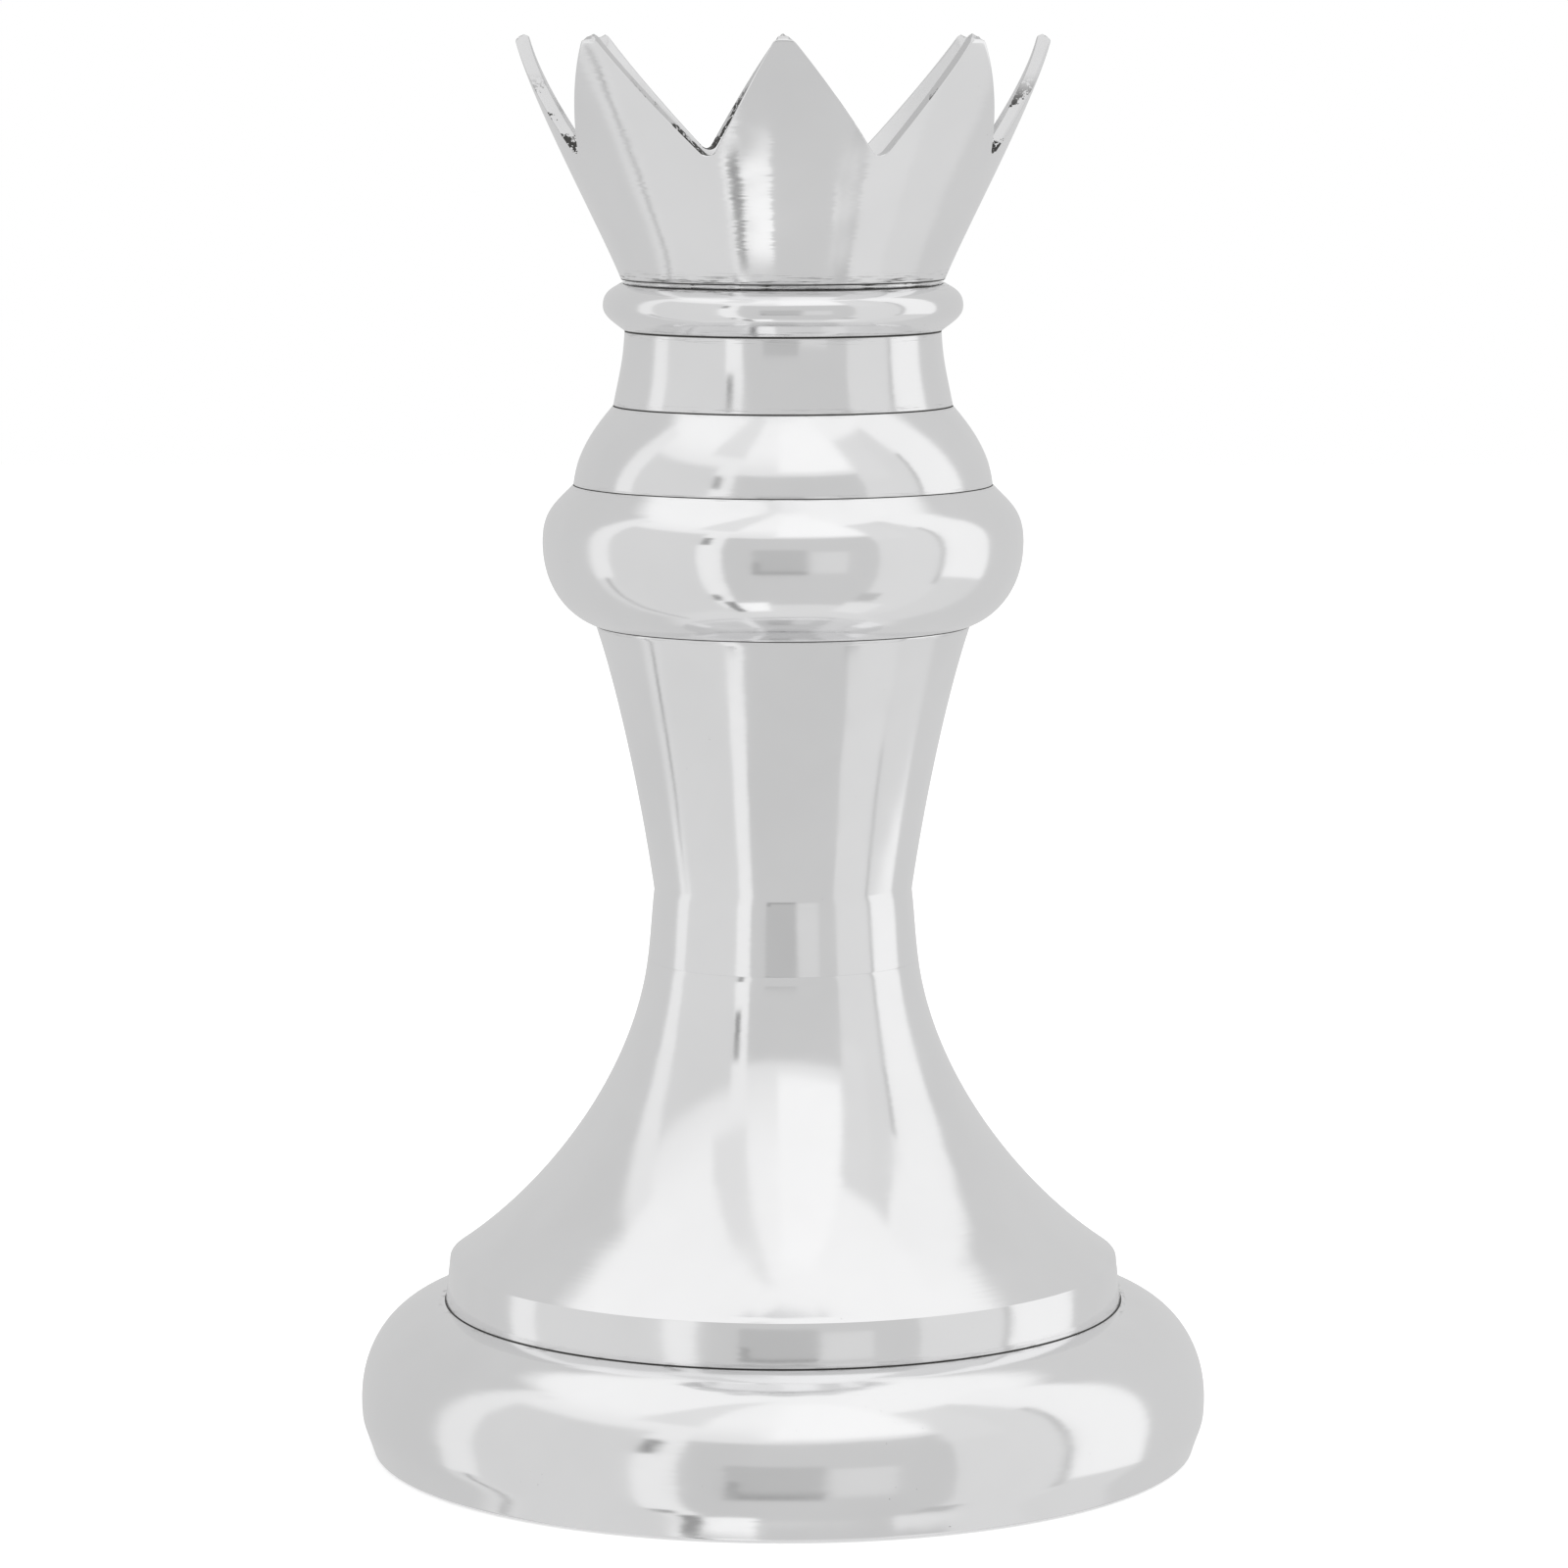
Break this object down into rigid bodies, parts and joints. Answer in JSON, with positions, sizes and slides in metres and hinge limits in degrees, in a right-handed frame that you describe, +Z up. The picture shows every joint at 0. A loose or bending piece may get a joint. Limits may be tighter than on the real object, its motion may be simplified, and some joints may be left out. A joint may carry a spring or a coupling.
{
  "type": "chess queen ornament",
  "caption": "Large free-standing chess queen ornament in polished aluminium: a stack of hollow turned castings on a tie rod, topped by an open pointed crown.",
  "frame": {"origin": "on the axis of the stack, in the plane that the felt stands on", "axes": "+Z up along the axis; one point of the crown faces -Y, which is the front"},
  "size_m": [0.36, 0.36, 0.6],
  "materials": {
    "polished_aluminium": "polished sand casting",
    "zinc_plated_steel": "zinc plated",
    "bright_nut": "polished stainless steel",
    "fibreboard": "sealed hardboard",
    "felt": "wool felt"
  },
  "bodies": {
    "root": {"foot_casting": "polished_aluminium", "skirt_casting": "polished_aluminium", "column_casting": "polished_aluminium", "collar_casting": "polished_aluminium", "shoulder_casting": "polished_aluminium", "neck_casting": "polished_aluminium", "bead_casting": "polished_aluminium", "crown_casting": "polished_aluminium", "tie_rod": "zinc_plated_steel", "dome_nut": "bright_nut", "crown_washer": "bright_nut", "penny_washer": "zinc_plated_steel", "spring_washer": "zinc_plated_steel", "rod_nut": "zinc_plated_steel", "rod_lock_nut": "zinc_plated_steel", "base_board": "fibreboard", "base_screw_1": "zinc_plated_steel", "base_screw_2": "zinc_plated_steel", "base_screw_3": "zinc_plated_steel", "base_screw_4": "zinc_plated_steel", "base_screw_5": "zinc_plated_steel", "base_screw_6": "zinc_plated_steel", "base_felt": "felt"}
  },
  "joints": []
}
